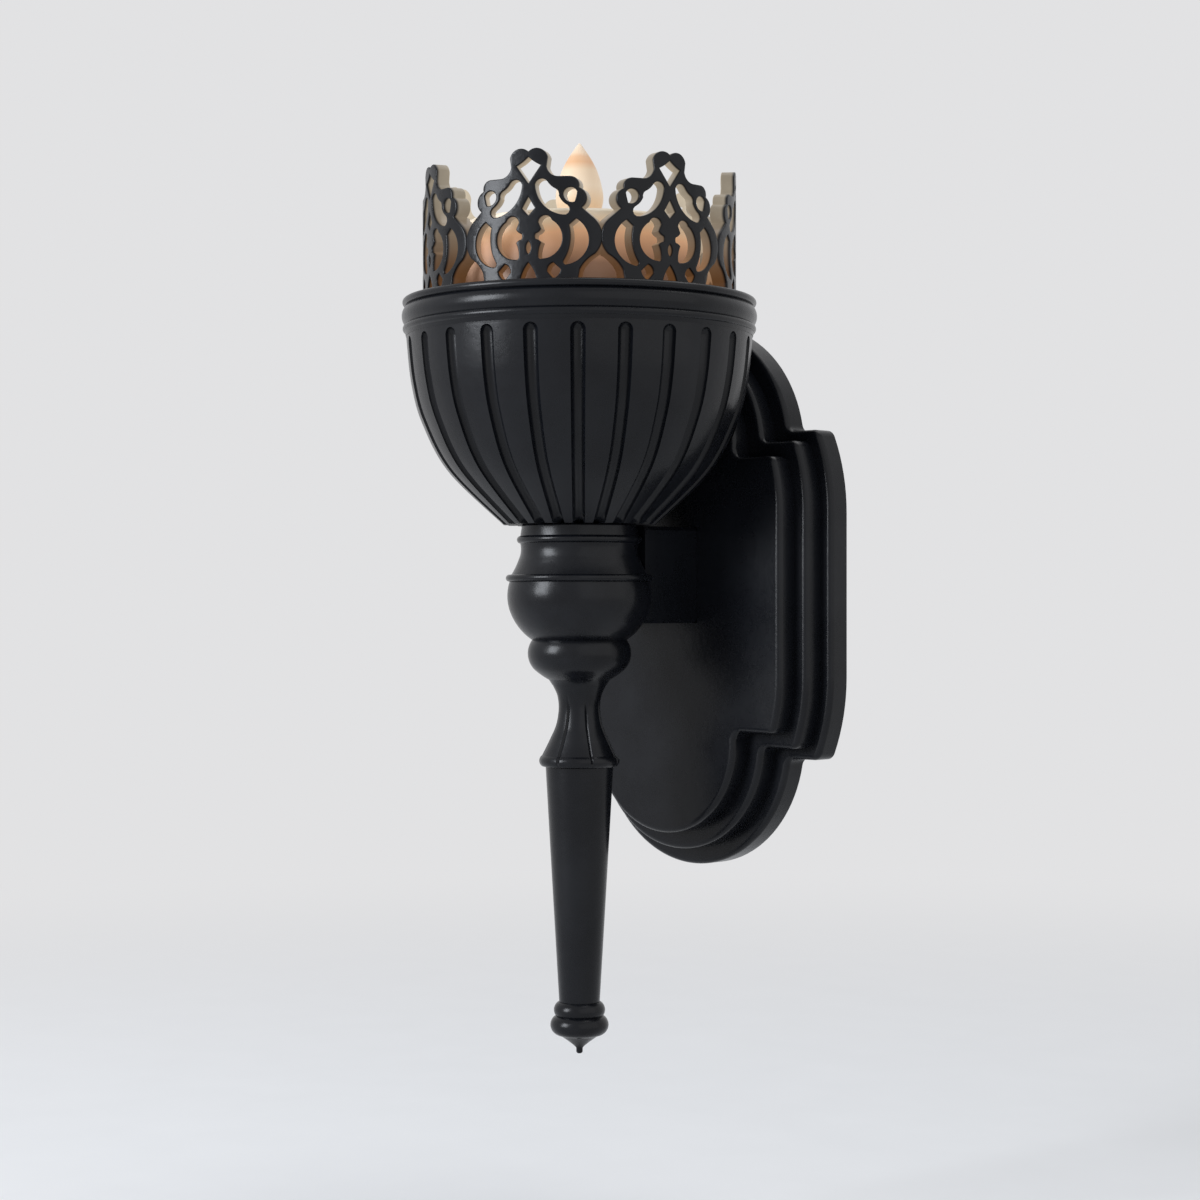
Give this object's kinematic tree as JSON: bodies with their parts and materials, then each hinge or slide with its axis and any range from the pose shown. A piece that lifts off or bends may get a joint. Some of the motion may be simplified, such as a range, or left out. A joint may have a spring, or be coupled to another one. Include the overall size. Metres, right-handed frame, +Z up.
{
  "type": "tealight wall sconce",
  "caption": "Wall sconce: a stepped plaque carries a square arm, a turned column and a fluted bowl whose pierced crown holds an LED tealight.",
  "frame": {"origin": "middle of the plaque's back face, in the plane of the wall", "axes": "+Z up, +Y into the wall, +X to the right of someone who faces the wall"},
  "size_m": [0.0598, 0.0578, 0.1437],
  "materials": {
    "black_casting": "satin black paint on cast metal",
    "black_sheet": "satin black paint on pressed sheet",
    "zinc_steel": "bright zinc plate",
    "candle_plastic": "waxy matte cream",
    "flame_plastic": "frosted, warm cream",
    "lamp_resin": "clear amber resin",
    "contact_metal": "tinned",
    "cell_steel": "bright nickel plate",
    "switch_plastic": "moulded, ribbed"
  },
  "bodies": {
    "sconce": {"wall_plaque": "black_casting", "hanger_plates": "zinc_steel", "hanger_screws": "zinc_steel", "arm": "black_casting", "arm_screws": "zinc_steel", "hub": "black_casting", "knop": "black_casting", "fluted_neck": "black_casting", "tapered_shaft": "black_casting", "finial": "black_casting", "tie_rod": "zinc_steel", "tie_washer": "zinc_steel", "tie_nut": "zinc_steel", "fluted_bowl": "black_casting", "rim_ring": "black_casting", "candle_seat": "black_sheet", "crown_gallery": "black_casting"},
    "tealight": {"tealight_case": "candle_plastic", "tealight_top": "candle_plastic", "flame_lens": "flame_plastic", "lamp": "lamp_resin", "cell_contact": "contact_metal", "switch_contact": "contact_metal", "coin_cell": "cell_steel", "cell_door": "candle_plastic", "door_screw": "zinc_steel"},
    "switch": {"switch_knob": "switch_plastic"}
  },
  "joints": [
    {"name": "candle_lift", "type": "slide", "parent": "sconce", "child": "tealight", "axis": [0, 0, 1], "range_m": [0, 0.045]},
    {"name": "switch_slide", "type": "slide", "parent": "tealight", "child": "switch", "axis": [1, 0, 0], "range_m": [0, 0.002]}
  ]
}
